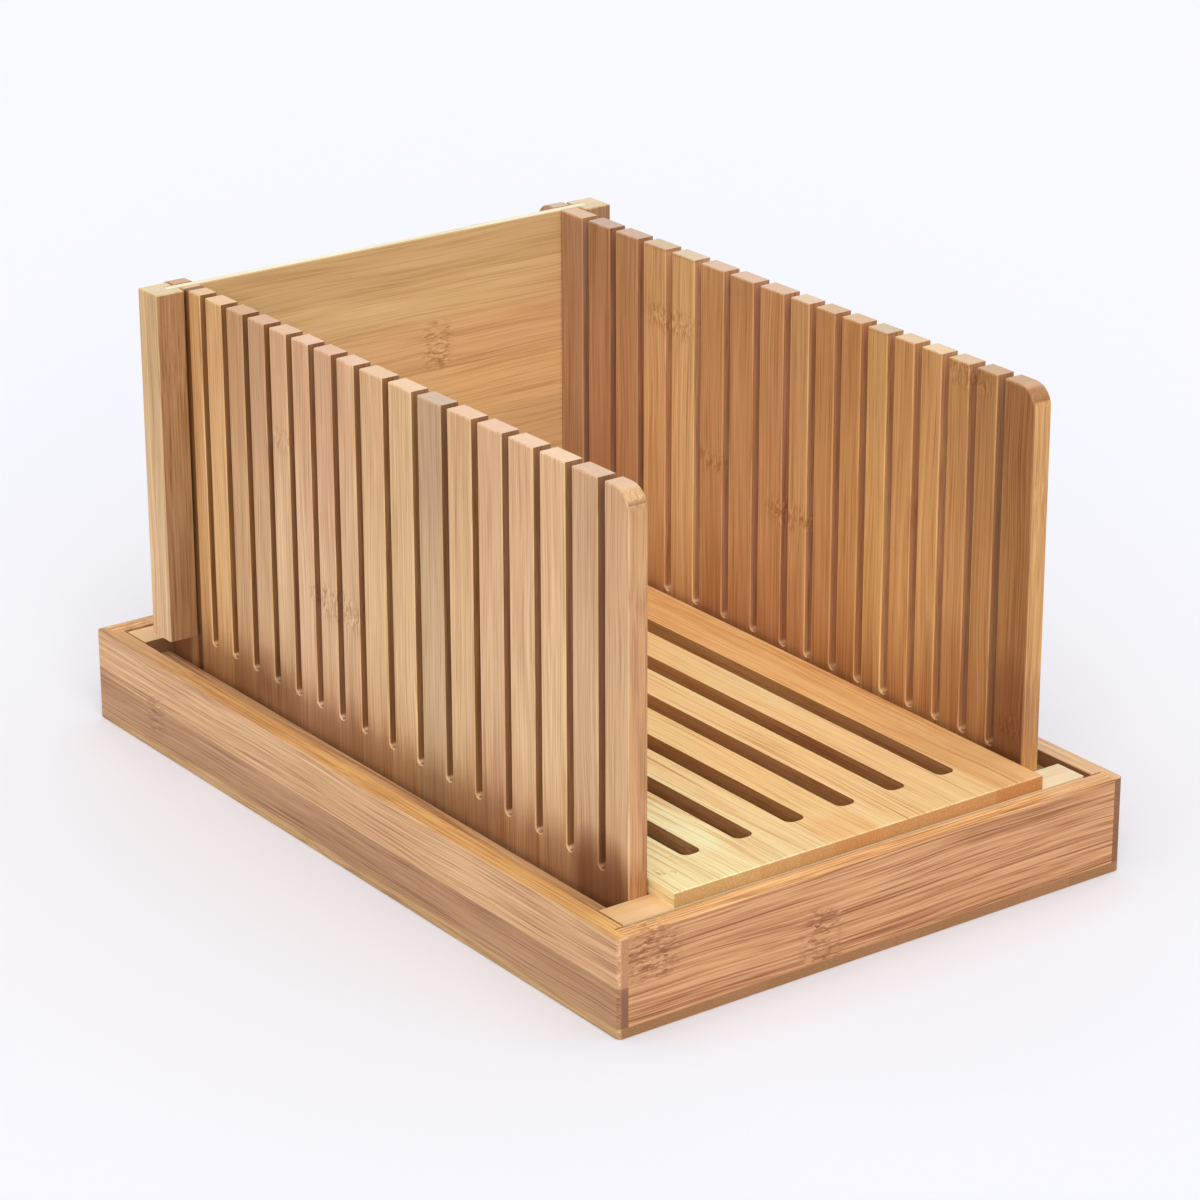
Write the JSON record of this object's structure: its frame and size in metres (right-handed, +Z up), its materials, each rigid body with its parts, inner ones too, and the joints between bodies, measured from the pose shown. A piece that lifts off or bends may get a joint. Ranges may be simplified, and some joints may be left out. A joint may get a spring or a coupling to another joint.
{
  "type": "bread slicer guide",
  "caption": "Foldable bamboo bread slicer guide: slotted side combs hinged on a slotted board with a lift-out back rest, standing in a crumb tray.",
  "frame": {"origin": "centre of the tray's footprint, on the surface that the tray stands on", "axes": "+X across the width to the right, +Y along the length from the open front to the back rest, +Z up"},
  "size_m": [0.225, 0.345, 0.1826],
  "materials": {
    "bamboo_tray": "satin oiled bamboo",
    "bamboo_board": "satin pale bamboo",
    "bamboo_cleat": "satin pale bamboo",
    "bamboo_comb": "satin bamboo",
    "bamboo_back_rest": "satin bamboo",
    "dowel_wood": "plain wood",
    "pin_steel": "plain drawn steel"
  },
  "bodies": {
    "tray": {"tray_bottom": "bamboo_tray", "tray_front_wall": "bamboo_tray", "tray_rear_wall": "bamboo_tray", "tray_left_wall": "bamboo_tray", "tray_right_wall": "bamboo_tray", "left_support_rail": "bamboo_tray", "right_support_rail": "bamboo_tray"},
    "slicer_base": {"slotted_board": "bamboo_board", "front_cleat": "bamboo_cleat", "rear_cleat": "bamboo_cleat", "board_dowels": "dowel_wood", "left_hinge_pin_front": "pin_steel", "left_hinge_pin_rear": "pin_steel", "right_hinge_pin_front": "pin_steel", "right_hinge_pin_rear": "pin_steel"},
    "left_comb": {"left_comb_rail": "bamboo_comb", "left_comb_slats": "bamboo_comb"},
    "right_comb": {"right_comb_rail": "bamboo_comb", "right_comb_slats": "bamboo_comb"},
    "back_rest": {"back_panel": "bamboo_back_rest", "left_post": "bamboo_back_rest", "right_post": "bamboo_back_rest"}
  },
  "joints": [
    {"name": "base_lift", "type": "slide", "parent": "tray", "child": "slicer_base", "axis": [0, 0, 1], "range_m": [0, 0.06]},
    {"name": "back_rest_lift", "type": "slide", "parent": "slicer_base", "child": "back_rest", "axis": [0, 0, 1], "range_m": [0, 0.15]},
    {"name": "left_comb_hinge", "type": "hinge", "parent": "slicer_base", "child": "left_comb", "pos_m": [-0.0876, 0, 0.0327], "axis": [0, 1, 0], "range_deg": [-0.3, 3.5]},
    {"name": "right_comb_hinge", "type": "hinge", "parent": "slicer_base", "child": "right_comb", "pos_m": [0.0876, 0, 0.0238], "axis": [0, -1, 0], "range_deg": [-0.3, 5.3]}
  ]
}
